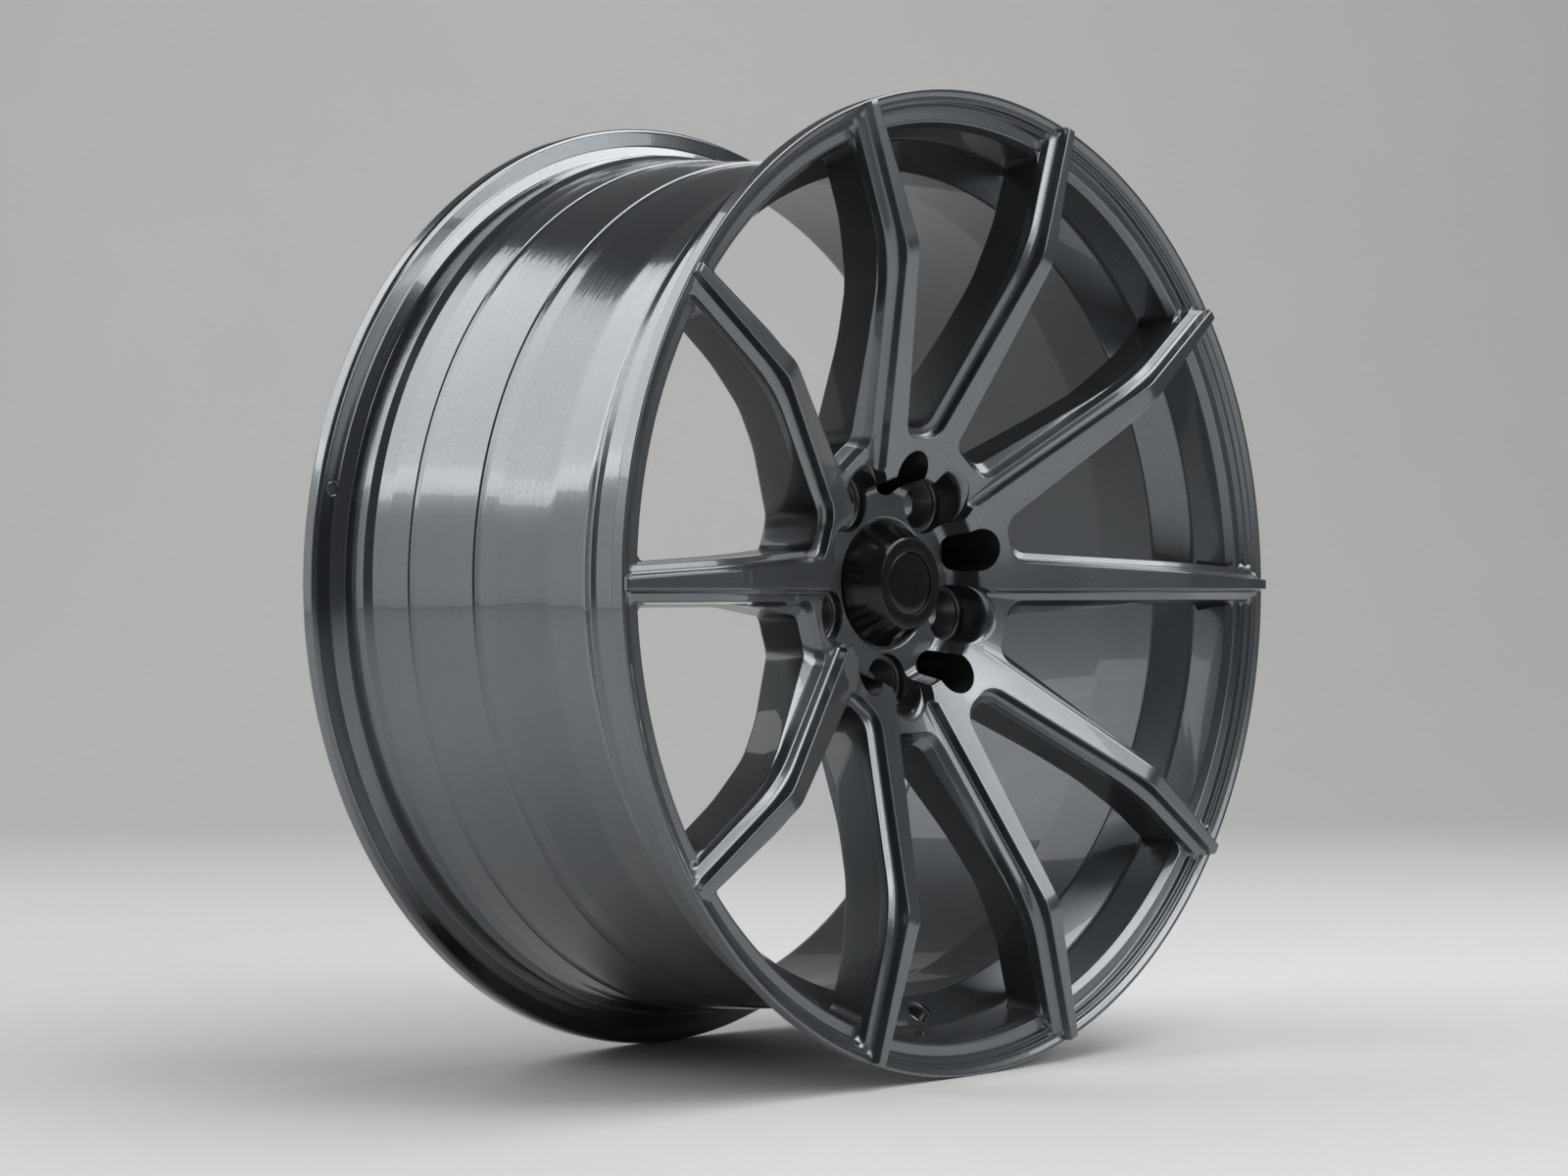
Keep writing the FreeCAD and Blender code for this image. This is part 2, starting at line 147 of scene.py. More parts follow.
# added half width, height over the back, outer end, root
VALLEY_LOW = [
    (10.6, 2.0, 248.6, 91.4),
    (10.3, 0.7, 248.4, 91.2),
    (9.2, 0.0, 248.1, 90.0),
]

# radius and depth from the face's edge over the hub pad, cap seat and bore to the back
HUB = [
    (61.6, 44.73),
    (60.9, 45.1),
    (60.3, 45.7),
    (59.85, 46.6),
    (59.55, 47.9),
    (57.4, 57.5),
    (56.7, 60.2),
    (55.6, 62.3),
    (54.1, 63.8),
    (52.3, 64.5),
    (50.5, 64.6),
    (38.3, 64.6),
    (37.5, 64.7),
    (37.05, 65.0),
    (36.9, 65.5),
    (36.9, 66.2),
    (32.4, 66.2),
    (32.0, 66.6),
    (32.0, 70.4),
    (34.0, 70.4),
    (34.0, 75.0),
    (33.3, 75.0),
    (33.3, 87.3),
    (35.3, 89.3),
    (77.6, 89.3),
    (78.8, 89.1),
    (79.7, 88.5),
    (85.4, 83.4),
]

# depth, radius, and the radius of the round at that corner
RIM = [
    (0.0, 271.5, 2.0),
    (0.1, 269.6, 1.6),
    (1.4, 267.2, 0.3),
    (2.1, 266.7, 0.25),
    (2.5, 265.0, 0.6),
    (4.5, 264.0, 0.4),
    (4.9, 261.6, 0.5),
    (7.7, 260.5, 0.6),
    (7.35, 254.2, 1.6),
    (11.9, 250.9, 1.6),
    (33.5, 247.0, 5.0),
    (51.0, 231.0, 2.5),
    (90.0, 230.5, 20.0),
    (233.0, 246.6, 10.0),
    (248.6, 261.0, 2.0),
    (248.6, 271.5, 2.2),
    (238.4, 271.5, 3.0),
    (237.4, 261.0, 3.0),
    (233.0, 254.7, 3.0),
    (218.0, 253.9, 2.0),
    (213.0, 251.5, 1.2),
    (203.0, 250.0, 12.0),
    (187.4, 248.7, 0.4),
    (186.8, 248.0, 0.4),
    (183.8, 247.4, 3.0),
    (141.4, 243.9, 0.4),
    (140.8, 243.1, 0.4),
    (137.0, 242.3, 3.0),
    (127.0, 241.5, 25.0),
    (91.0, 236.4, 22.0),
    (62.0, 236.3, 10.0),
    (41.5, 254.9, 2.0),
    (37.0, 253.8, 1.5),
    (17.0, 254.7, 3.0),
    (10.4, 261.0, 2.5),
    (8.6, 271.5, 1.6),
]
RIM_STEPS = 208
# depth and radius of the middle of the rim's wall, which parts tyre side and inside
RIM_DEPTHS = [9, 17, 33, 41, 51, 62, 90, 213, 233, 249]
RIM_MIDDLES = [258, 252.6, 250.2, 247, 238, 233, 233.4, 248, 250.6, 266]
# the inside of the barrel beyond this depth gets paint at half tone, painted shade, under a
# thinner, rougher coat
TYRE_SIDE_FROM, SHADED_INSIDE_FROM = 9.0, 51.5

# rounds of an outline: share of a side they may take, angle of a step, lines held beside them
SIDE_SHARE, ARC_STEP = 0.45, 0.28
GUARD_MOST, GUARD_SHARE = 0.35, 0.05

# Machined holes. Outlines are (height, radius) along the hole's own axis.
HOLE_PITCH = 72.0
MOUTH = 20.0  # where the cutters for wells and pockets start, before the hub
BOLT_CIRCLE, BOLT_FIRST, WELL, WELL_STEPS = 56.0, 54.0, 16.8, 64
VALLEY_DEPTH, VALLEY_SLOPE = 79.0, 0.4317  # the valley floor at the axis, and its slope
LIP_LEAST, LIP_MOST, LIP_POINTS = 0.05, 8.0, 8
BOLT_SEAT = [
    (68.4, 16.8),
    (69.3, 16.5),
    (69.9, 16.0),
    (70.2, 15.2),
    (70.2, 13.4),
    (70.6, 13.0),
    (79.6, 7.5),
    (96.0, 7.5),
    (96.0, 0.0),
]
POCKET_CIRCLE, POCKET_FIRST = 62.0, 18.0
POCKET = [(MOUTH, 0.0), (MOUTH, 12.2), (81.4, 12.2), (82.9, 11.6), (83.5, 10.2), (83.5, 0.0)]
VALVE_PLACE, VALVE_TILT = (0.0, 41.7, -239.5), math.radians(47.6)
VALVE = [
    (-14.0, 0.0),
    (-14.0, 9.0),
    (1.3, 9.0),
    (1.6, 8.6),
    (1.6, 5.75),
    (6.6, 5.75),
    (6.6, 11.0),
    (26.0, 11.0),
    (26.0, 0.0),
]
MARK_RADIUS, MARK_ANGLE, MARK_DEPTH = 264.2, 168.4, 237.70
FLANGE_IN, FLANGE_BACK = 0.1135, 0.9935  # direction square to the rear flange
MARK = [
    (-3.0, 0.0),
    (-3.0, 4.4),
    (0.1, 4.4),
    (0.35, 4.1),
    (0.35, 3.4),
    (0.15, 3.1),
    (0.15, 0.0),
]

# depth, radius, and the radius of the round at that corner
CAP = [
    (48.0, 17.9, 0.15),
    (46.25, 18.0, 0.4),
    (46.0, 21.4, 14.0),
    (46.2, 24.9, 0.8),
    (47.2, 26.0, 0.9),
    (64.2, 36.2, 1.2),
    (66.2, 36.2, 0.4),
    (66.2, 31.6, 0.2),
    (70.6, 31.6, 0.2),
    (70.6, 33.2, 0.3),
    (74.6, 30.9, 0.3),
    (74.6, 29.35, 0.2),
    (57.4, 29.35, 0.5),
    (50.4, 25.0, 0.8),
]
CAP_STEPS = 144
CAP_LEGS = 6
# the gap between two legs: its size radially, in depth and across, and its middle
GAP_SIZE = (8.0, 10.0, 9.0)
GAP_RADIUS, GAP_DEPTH = 31.5, 72.6

# depth and radius
DISC = [
    (46.5, 0.0),
    (46.5, 9.0),
    (46.53, 12.0),
    (46.68, 15.0),
    (46.95, 17.0),
    (47.1, 17.5),
    (47.3, 17.7),
    (48.0, 17.7),
    (48.0, 0.0),
]
DISC_STEPS = 128

CRISP = 30.0  # edges that turn by more degrees than this stay crisp

PAINT_DARK = (0.114, 0.126, 0.132)
PAINT_LIGHT = (0.182, 0.2, 0.21)
CLOUD_DARK, CLOUD_LIGHT = (0.88, 0.88, 0.9), (1.0, 1.0, 1.0)
STEEL_DARK, STEEL_LIGHT = (0.42, 0.42, 0.43), (0.58, 0.58, 0.6)

# the stage in metres, with the floor at the wheel's lowest point
FLOOR = -0.2715
FLOOR_NEAR, FLOOR_FAR, FLOOR_HALF_WIDTH = -4.5, 2.2, 6.0
BACKDROP_ROUND, BACKDROP_STEPS, BACKDROP_TOP = 1.2, 12, 1.7

# the photo's viewpoint
VIEW_X, VIEW_Y, VIEW_Z = 0.7327, 0.6805, 0.0048
VIEW_PLACE = (-1.5424, -1.3789, -0.0120)
VIEW_UP = (0.0, -0.007, 1.0)

# name, place, aim, width, height, watts
LAMPS = [
    ("overhead", (0.6, -0.65, 1.9), (0.0, 0.0, 0.0), 2.6, 1.3, 38.0),
    ("front", (0.4, -2.7, 1.4), (0.0, 0.0, 0.0), 2.4, 1.4, 19.0),
    ("right", (1.33, -2.1, 1.32), (0.0, 0.0, 0.0), 1.5, 1.05, 11.5),
    ("barrel_side", (-1.42, 1.92, 1.78), (-0.2, 0.05, 0.1), 3.2, 2.0, 47.0),
    ("barrel_low", (-2.3, 2.45, 0.55), (-0.25, 0.05, 0.05), 3.4, 1.6, 13.0),
]


def soft_line(points, reach, r):
    """Height of a chain of straight lines at radius r, each bend eased over a reach."""
    y = np.interp(r, [p[0] for p in points], [p[1] for p in points])
    for (r0, y0), (r1, y1), (r2, y2) in zip(points, points[1:], points[2:]):
        turn = (y2 - y1) / (r2 - r1) - (y1 - y0) / (r1 - r0)
        near = np.clip(reach - np.abs(r - r1), 0.0, None)
        y = y + turn * near**2 / (4.0 * reach)
    return y


def face_at(r, below=0.0):
    """Depth of the spoke's face, or of a ledge below it, rounded over at its outer end."""
    over = np.clip(r - TIP_START, 0.0, TIP_ROUND)
    ease = FACE_EASE + LEDGE_EASE * min(below, LEDGE_MOST)
    return soft_line(FACE, ease, r) + below + TIP_ROUND - np.sqrt(TIP_ROUND**2 - over**2)


def back_at(r):
    """Depth of the spoke's back."""
    return soft_line(BACK, BACK_EASE, r)


def to_window(along, off):
    """A point beside the spoke's middle line, seen from the window's own axis."""
    s, c = math.sin(HALF_PITCH), math.cos(HALF_PITCH)
    return np.array([along * s - off * c, along * c + off * s])


def to_spoke(p):
    """The same point as distances along and beside the spoke."""
    s, c = math.sin(HALF_PITCH), math.cos(HALF_PITCH)
    return np.stack([p[:, 1] * c + p[:, 0] * s, p[:, 1] * s - p[:, 0] * c], 1)


def rail(off, end, flare, root, corner):
    """One line round half a window: spoke side from the rim, root corner, root to the axis.

    off gives the distance from the spoke's middle line at a distance along it. The line
    starts at end with a flare of that radius, and its root has that distance from the
    wheel's axis and that corner radius.
    """
    first, second = [to_window(a, off(a)) for a in STRAIGHT]
    d = (second - first) / np.linalg.norm(second - first)
    n = np.array([-d[1], d[0]])
    while True:
        s = (root + corner - first[1] - corner * d[0]) / d[1]
        centre = first + s * d + corner * n
        if centre[0] > CORNER_CLEAR or corner < CORNER_LEAST:
            break
        corner *= CORNER_SHRINK
    touch = centre - corner * n
    a_touch = touch[1] * math.cos(HALF_PITCH) + touch[0] * math.sin(HALF_PITCH)
    turn = np.linspace(0.0, math.pi / 2, TIP_POINTS)
    radius = flare if flare > 0.0 else SQUARE_END
    a_tip = end - radius + radius * np.cos(turn)
    a = np.concatenate(
        [
            a_tip,
            np.linspace(a_tip[-1], BEND_OUTER, OUTER_POINTS)[1:],
            np.linspace(BEND_OUTER, BEND_INNER, BEND_POINTS)[1:],
            np.linspace(BEND_INNER, a_touch, INNER_POINTS)[1:],
        ]
    )
    b = np.array([off(x) for x in a])
    if flare > 0.0:
        b[:TIP_POINTS] += radius - radius * np.sin(turn)
    b[-1] = to_spoke(touch[None])[0, 1]
    start = math.atan2(-d[0], d[1])
    swing = np.linspace(start, -math.pi / 2, CORNER_POINTS)[1:]
    arc = centre + corner * np.stack([np.cos(swing), np.sin(swing)], 1)
    across = np.linspace(arc[-1, 0], 0.0, ROOT_POINTS)[1:]
    floor = np.stack([across, np.full(len(across), root)], 1)
    return np.concatenate([np.stack([a, b], 1), to_spoke(arc), to_spoke(floor)])


def below_face(line, below):
    """A rail at a depth below the spoke's face."""
    r = np.hypot(line[:, 0], line[:, 1])
    return np.column_stack([line, face_at(r, below)])


def before_back(line, height):
    """A rail at a height over the spoke's back."""
    r = np.hypot(line[:, 0], line[:, 1])
    return np.column_stack([line, back_at(r) - height])


def pair_rails():
    """The window between the two spokes of a pair: edge, wall, cove, ledge, deep wall."""

    def side(extra):
        return lambda a: PAIR_HALF - (a - PAIR_FROM) * PAIR_TAPER + extra

    rails = []
    for extra, below, end, flare in PAIR_UPPER:
        root = PAIR_ROOT + ROOT_GROWTH * extra
        line = rail(side(extra), end, flare, root, PAIR_CORNER - CORNER_LOSS * extra)
        rails.append(below_face(line, below))
    low = []
    for extra, height, end in PAIR_LOW:
        root = PAIR_ROOT + ROOT_GROWTH * extra
        line = rail(side(extra), end, DEEP_FLARE, root, PAIR_DEEP_CORNER)
        low.append(before_back(line, height))
    between = [rails[-1] * (1.0 - share) + low[0] * share for share in PAIR_BETWEEN]
    return rails + between + low


def valley_rails():
    """The window over a bolt well: the same, with a wide floor at its root and a lower step."""

    def side(extra):
        fade = FADE_SHARE * max(0.0, extra - FADE_FROM)
        return lambda a: VALLEY_SIDE + extra - fade * float(np.interp(a, FADE_ALONG, FADE_SHIFT))

    def step(extra, late):
        shift = STEP_SHIFT + [late]
        return lambda a: VALLEY_SIDE + extra + float(np.interp(a, STEP_ALONG, shift))

    rails = []
    for extra, below, end, flare, root, corner in VALLEY_UPPER:
        rails.append(below_face(rail(side(extra), end, flare, root, corner), below))
    for extra, below, root, late in VALLEY_STEP:
        line = rail(step(extra, late), STEP_END, DEEP_FLARE, root, STEP_CORNER)
        lowered = below_face(line, below)
        lowered[:, 2] += np.interp(line[:, 0], LOWER_ALONG, LOWER_DEPTH)
        rails.append(lowered)
    for extra, height, end, root in VALLEY_LOW:
        line = rail(step(extra, STEP_LATE), end, DEEP_FLARE, root, VALLEY_DEEP_CORNER)
        rails.append(before_back(line, height))
    return rails


def mirrored(rails):
    """Rails moved to the other side of the spoke."""
    return [r * np.array([1.0, -1.0, 1.0]) for r in rails]


def crossing(start, stop):
    """Points from one rail to the other across the spoke, along and round the axis."""
    ra, rb = np.hypot(*start[:2]), np.hypot(*stop[:2])
    ta, tb = math.atan2(start[1], start[0]), math.atan2(stop[1], stop[0])
    s = np.linspace(0.0, 1.0, ACROSS + 1)
    r, t = ra + (rb - ra) * s, ta + (tb - ta) * s
    y = start[2] + (stop[2] - start[2]) * s
    return np.stack([r * np.cos(t), r * np.sin(t), y], 1), r


def ring_at(r, depth, angle):
    """Points at a radius and a depth, one for each angle round the wheel's axis."""
    return np.stack([r * np.cos(angle), r * np.sin(angle), 0 * angle + depth], 1)


class Surface:
    """Collects strips of quads, then welds them into one closed skin."""

    def __init__(self):
        self.points = []
        self.quads = []
        self.marks = []

    def grid(self, rows, mark=FULL_COAT):
        """Adds rows of points with a quad between each four neighbours."""
        rows = np.asarray(rows)
        base = sum(len(p) for p in self.points)
        tall, wide = rows.shape[:2]
        self.points.append(rows.reshape(-1, 3))
        for i in range(tall - 1):
            for j in range(wide - 1):
                a = base + i * wide + j
                self.quads.append((a, a + 1, a + wide + 1, a + wide))
                self.marks.append(mark)

    def mesh(self, name):
        """The welded skin in the frame's axes and in metres."""
        points = np.concatenate(self.points)
        made = bpy.data.meshes.new(name)
        x, z, y = points[:, 0], points[:, 1], points[:, 2] - MOUNT_FACE
        made.from_pydata(np.stack([x, y, z], 1) / PER_METRE, [], self.quads)
        made.polygons.foreach_set("material_index", self.marks)
        bm = bmesh.new()
        bm.from_mesh(made)
        bmesh.ops.remove_doubles(bm, verts=bm.verts, dist=2e-6)
        bmesh.ops.dissolve_degenerate(bm, edges=bm.edges, dist=1e-6)
        bmesh.ops.recalc_face_normals(bm, faces=bm.faces)
        bm.to_mesh(made)
        bm.free()
        return made


def spokes():
    """Ten spokes with their hub, each with half of the window on either side."""
    pair, valley = pair_rails(), mirrored(valley_rails())
    face, back = [], []
    for a, b in zip(pair[0], valley[0]):
        row, r = crossing(a, b)
        row[:, 2] = face_at(r)
        face.append(row)
    for a, b in zip(pair[-1], valley[-1]):
        row, r = crossing(a, b)
        row[:, 2] = back_at(r)
        back.append(row)
    tips = [crossing(a[0], b[0])[0] for a, b in zip(pair, valley)]
    tips[0], tips[-1] = face[0], back[0]
    angle = np.linspace(HALF_PITCH, -HALF_PITCH, ACROSS + 1)
    hub = [face[-1]] + [ring_at(r, y, angle) for r, y in HUB] + [back[-1]]
    pair_deep = len(PAIR_UPPER) - 1
    valley_deep = len(VALLEY_UPPER) + len(VALLEY_STEP) - 1
    sheets = [
        (pair[: pair_deep + 1], FULL_COAT),
        (valley[: valley_deep + 1], FULL_COAT),
        (face, FULL_COAT),
        (back, FULL_COAT),
        (tips, FULL_COAT),
        (hub, FULL_COAT),
        # deep walls of each window: thinner, rougher coat with paint at half tone, painted shade
        (pair[pair_deep:], SHADED_THIN_COAT),
        (valley[valley_deep:], SHADED_THIN_COAT),
    ]
    skin = Surface()
    for k in range(SPOKES):
        turn = math.radians(SPOKE_STEP * k)
        flip = 1.0 if k % 2 == 0 else -1.0
        c, s = math.cos(turn), math.sin(turn)
        for sheet, mark in sheets:
            p = np.asarray(sheet)
            a, b = p[..., 0], p[..., 1] * flip
            skin.grid(np.stack([a * c - b * s, a * s + b * c, p[..., 2]], -1), mark)
    return skin.mesh("spokes")


def rounded(corners):
    """A closed chain of lines with a round at every corner, and lines held close to each round."""
    count = len(corners)
    chain = []
    for i in range(count):
        p = np.array(corners[i][:2])
        before = np.array(corners[i - 1][:2]) - p
        after = np.array(corners[(i + 1) % count][:2]) - p
        lb, la = np.linalg.norm(before), np.linalg.norm(after)
        before, after = before / lb, after / la
        half = math.acos(float(np.clip(before @ after, -1.0, 1.0))) / 2.0
        cut = min(corners[i][2] / math.tan(half), SIDE_SHARE * lb, SIDE_SHARE * la)
        radius = cut * math.tan(half)
        middle = p + (before + after) / np.linalg.norm(before + after) * radius / math.sin(half)
        start, stop = p + before * cut - middle, p + after * cut - middle
        a0 = math.atan2(start[1], start[0])
        sweep = (math.atan2(stop[1], stop[0]) - a0 + math.pi) % (2 * math.pi) - math.pi
        steps = max(2, int(math.ceil(abs(sweep) / ARC_STEP)))
        chain.append(middle + start + before * min(GUARD_MOST, GUARD_SHARE * lb))
        for t in np.linspace(0.0, sweep, steps + 1):
            chain.append(middle + radius * np.array([math.cos(a0 + t), math.sin(a0 + t)]))
        chain.append(middle + stop + after * min(GUARD_MOST, GUARD_SHARE * la))
    return np.array(chain)


def one_finish(p, q):
    """The same finish on every strip."""
    return FULL_COAT


def rim_finish(p, q):
    """Finish of a strip of the rim between two points of its outline; the inside of the barrel
    gets a thinner, rougher coat with paint at half tone, painted shade.
    """
    depth, r = (p + q) / 2.0
    if depth > TYRE_SIDE_FROM and r > np.interp(depth, RIM_DEPTHS, RIM_MIDDLES):
        return TURNED
    return SHADED_THIN_COAT if depth > SHADED_INSIDE_FROM else FULL_COAT


def turned(chain, name, steps, finish=one_finish):
    """An outline of depth and radius turned once round the wheel's axis."""
    skin = Surface()
    angle = np.linspace(0.0, 2 * math.pi, steps + 1)
    angle[-1] = 0.0
    for p, q in zip(chain, chain[1:]):
        skin.grid([ring_at(r, y, angle) for y, r in (p, q)], finish(p, q))
    return skin.mesh(name)


def lathe_tool(outline, place, axis, steps=48, shaded_from=math.inf):
    """A closed turned cutter: outline of (height, radius) along an axis from a place.

    An outline may also be a function that gives the outline at each angle. From one of its
    strips on, what it cuts has a thinner, rougher coat with paint at half tone, painted shade.
    """
    angles = [2 * math.pi * k / steps for k in range(steps)]
    sections = [outline(t) if callable(outline) else outline for t in angles]
    bm = bmesh.new()
    rings = []
    for i, (h, r) in enumerate(sections[0]):
        if r == 0.0:
            rings.append([bm.verts.new((0.0, 0.0, h))])
            continue
        ring = []
        for t, section in zip(angles, sections):
            h, r = section[i]
            ring.append(bm.verts.new((r * math.cos(t), r * math.sin(t), h)))
        rings.append(ring)
    for i, (low, high) in enumerate(zip(rings, rings[1:])):
        for k in range(steps):
            a, b = low[k % len(low)], low[(k + 1) % len(low)]
            c, d = high[(k + 1) % len(high)], high[k % len(high)]
            corner = [a]
            for v in (b, c, d):
                if v not in corner:
                    corner.append(v)
            bm.faces.new(corner).material_index = SHADED_THIN_COAT if i >= shaded_from else FULL_COAT
    bmesh.ops.recalc_face_normals(bm, faces=bm.faces)
    turn = Vector(axis).to_track_quat("Z", "Y").to_matrix().to_4x4()
    x, y, z = place
    where = Vector((x / PER_METRE, (y - MOUNT_FACE) / PER_METRE, z / PER_METRE))
    bm.transform(Matrix.Translation(where) @ turn @ Matrix.Scale(1.0 / PER_METRE, 4))
    made = bpy.data.meshes.new("tool")
    bm.to_mesh(made)
    bm.free()
    return made


def bolt_well(outward):
    """Outline of a bolt well whose lip is rounded where it meets the sloping valley floor."""

    def outline(t):
        lean = math.cos(t - outward)
        radius = LIP_LEAST + LIP_MOST * max(0.0, lean) ** 2
        open_angle = math.pi / 2 - math.atan(VALLEY_SLOPE * lean)
        floor = VALLEY_DEPTH - VALLEY_SLOPE * (BOLT_CIRCLE + WELL * lean)
        reach = radius * math.tan(open_angle / 2)
        lip = []
        for s in np.linspace(open_angle, 0.0, LIP_POINTS):
            height = floor + reach - radius * math.sin(s)
            lip.append((height, WELL + radius - radius * math.cos(s)))
        return [(MOUTH, 0.0), (MOUTH, lip[0][1])] + lip + BOLT_SEAT

    return outline


def linked(name, data):
    """A new object in the scene."""
    obj = bpy.data.objects.new(name, data)
    bpy.context.scene.collection.objects.link(obj)
    return obj


def joined(meshes, name):
    """Several closed skins as one object."""
    bm = bmesh.new()
    for m in meshes:
        bm.from_mesh(m)
        bpy.data.meshes.remove(m)
    made = bpy.data.meshes.new(name)
    bm.to_mesh(made)
    bm.free()
    return linked(name, made)


def combine(obj, other, how):
    """Adds or takes away another object and removes it."""
    step = obj.modifiers.new("step", "BOOLEAN")
    step.operation = how
    step.solver = "MANIFOLD"
    step.object = other
    dg = bpy.context.evaluated_depsgraph_get()
    made = bpy.data.meshes.new_from_object(obj.evaluated_get(dg))
    obj.modifiers.remove(step)
    bm = bmesh.new()
    bm.from_mesh(made)
    bmesh.ops.remove_doubles(bm, verts=bm.verts, dist=1e-5)
    bmesh.ops.dissolve_degenerate(bm, edges=bm.edges, dist=1e-5)
    bm.to_mesh(made)
    bm.free()
    old = obj.data
    obj.data = made
    bpy.data.meshes.remove(old)
    bpy.data.objects.remove(other)
    return obj


def shaded(obj):
    """Smooth shading with sharp edges kept crisp."""
    obj.data.shade_smooth()
    obj.data.set_sharp_from_angle(angle=math.radians(CRISP))
    even = obj.modifiers.new("even", "WEIGHTED_NORMAL")
    even.keep_sharp = True
    return obj


def polar(r, degrees, depth):
    """A place at a radius and an angle round the wheel's axis, with its depth in the middle."""
    t = math.radians(degrees)
    return (r * math.cos(t), depth, r * math.sin(t))


def three_finishes(obj):
    """Room for the three finishes of the casting, the third with painted shade."""
    for _ in (FULL_COAT, TURNED, SHADED_THIN_COAT):
        obj.data.materials.append(None)


def make_wheel():
    """The casting: spokes and hub joined to the rim, then the machined wells and holes."""
    body = joined([spokes()], "alloy_wheel")
    outline = rounded(RIM)
    outline = np.concatenate([outline, outline[:1]])
    rim = joined([turned(outline, "rim", RIM_STEPS, rim_finish)], "rim")
    three_finishes(body)
    three_finishes(rim)
    body = combine(body, rim, "UNION")
    backwards = (0, 1, 0)
    tools = []
    for k in range(SPOKES // 2):
        degrees = BOLT_FIRST + HOLE_PITCH * k
        well = bolt_well(math.radians(180.0 - degrees))
        place = polar(BOLT_CIRCLE, degrees, 0.0)
        # bolt wells below their lip and pockets get paint at half tone, painted shade, under a
        # thinner, rougher coat
        tools.append(lathe_tool(well, place, backwards, WELL_STEPS, LIP_POINTS + 1))
        place = polar(POCKET_CIRCLE, POCKET_FIRST + HOLE_PITCH * k, 0.0)
        tools.append(lathe_tool(POCKET, place, backwards, shaded_from=1))
    axis = Vector((0.0, math.cos(VALVE_TILT), -math.sin(VALVE_TILT)))
    tools.append(lathe_tool(VALVE, VALVE_PLACE, axis))
    x, y, z = polar(MARK_RADIUS, MARK_ANGLE, MARK_DEPTH)
    lean = Vector((-FLANGE_IN * x / MARK_RADIUS, FLANGE_BACK, -FLANGE_IN * z / MARK_RADIUS))
    tools.append(lathe_tool(MARK, (x, y, z), lean))
    cutter = joined(tools, "tools")
    three_finishes(cutter)
    return shaded(combine(body, cutter, "DIFFERENCE"))


def make_cap():
    """The cap: a tapered cup with a crowned front ring round a recess, and six sprung legs."""
    front, inside = (CAP[0][0], 0.0), (CAP[-1][0], 0.0)
    chain = [front] + [tuple(p) for p in rounded(CAP)] + [inside]
    cap = joined([turned(chain, "cap", CAP_STEPS)], "cap_shell")
    size = Matrix.Diagonal([length / PER_METRE for length in GAP_SIZE] + [1.0])
    depth = (GAP_DEPTH - MOUNT_FACE) / PER_METRE
    shift = Matrix.Translation((GAP_RADIUS / PER_METRE, depth, 0.0))
    gaps = []
    for k in range(CAP_LEGS):
        bm = bmesh.new()
        bmesh.ops.create_cube(bm, size=1.0)
        turn = Matrix.Rotation(math.radians(360.0 / CAP_LEGS * k), 4, "Y")
        bm.transform(turn @ shift @ size)
        made = bpy.data.meshes.new("gap")
        bm.to_mesh(made)
        bm.free()
        gaps.append(made)
    return shaded(combine(cap, joined(gaps, "gaps"), "DIFFERENCE"))


def make_disc():
    """The thin crowned disc in the cap's recess."""
    return shaded(joined([turned(DISC, "disc", DISC_STEPS)], "cap_disc"))


def opaque(tone, share=1.0):
    """A colour, lightened or darkened, with full alpha."""
    return tuple(share * t for t in tone) + (1.0,)


class Finish:
    """A procedural material with its node tree at hand."""

    def __init__(self, name):
        self.material = bpy.data.materials.new(name)
        self.material.use_nodes = True
        self.tree = self.material.node_tree
        self.shader = self.tree.nodes["Principled BSDF"]
        self.place = self.add("ShaderNodeTexCoord").outputs["Object"]

    def add(self, kind, **values):
        """A new node with properties or inputs set by name."""
        node = self.tree.nodes.new(kind)
        for key, value in values.items():
            if hasattr(node, key):
                setattr(node, key, value)
            else:
                node.inputs[key].default_value = value
        return node

    def link(self, a, b):
        self.tree.links.new(a, b)

    def drive(self, name, value):
        """Links a value to one of the shader's inputs."""
        self.link(value, self.shader.inputs[name])

    def fix(self, name, value):
        """Sets one of the shader's inputs."""
        self.shader.inputs[name].default_value = value

    def noise(self, scale, detail=3.0, stretch=None):
        """Noise over the piece, stretched along its axes where asked."""
        node = self.add("ShaderNodeTexNoise", Scale=scale, Detail=detail)
        where = self.place
        if stretch is not None:
            mapping = self.add("ShaderNodeMapping", Scale=stretch)
            self.link(where, mapping.inputs["Vector"])
            where = mapping.outputs["Vector"]
        self.link(where, node.inputs["Vector"])
        return node.outputs["Fac"]

    def ramp(self, value, low, high):
        """A colour between two stops of position and colour."""
        node = self.add("ShaderNodeValToRGB")
        first, last = node.color_ramp.elements
        first.position, first.color = low
        last.position, last.color = high
        self.link(value, node.inputs["Fac"])
        return node.outputs["Color"]

    def spread(self, value, low, high):
        """A value between 0 and 1 mapped to a range."""
        node = self.add("ShaderNodeMapRange")
        node.inputs["To Min"].default_value = low
        node.inputs["To Max"].default_value = high
        self.link(value, node.inputs["Value"])
        return node.outputs["Result"]

    def bump(self, value, distance, strength, onto=None):
        """A normal from a height in metres, over another normal where one is given."""
        node = self.add("ShaderNodeBump", Distance=distance, Strength=strength)
        self.link(value, node.inputs["Height"])
        if onto is not None:
            self.link(onto, node.inputs["Normal"])
        return node.outputs["Normal"]


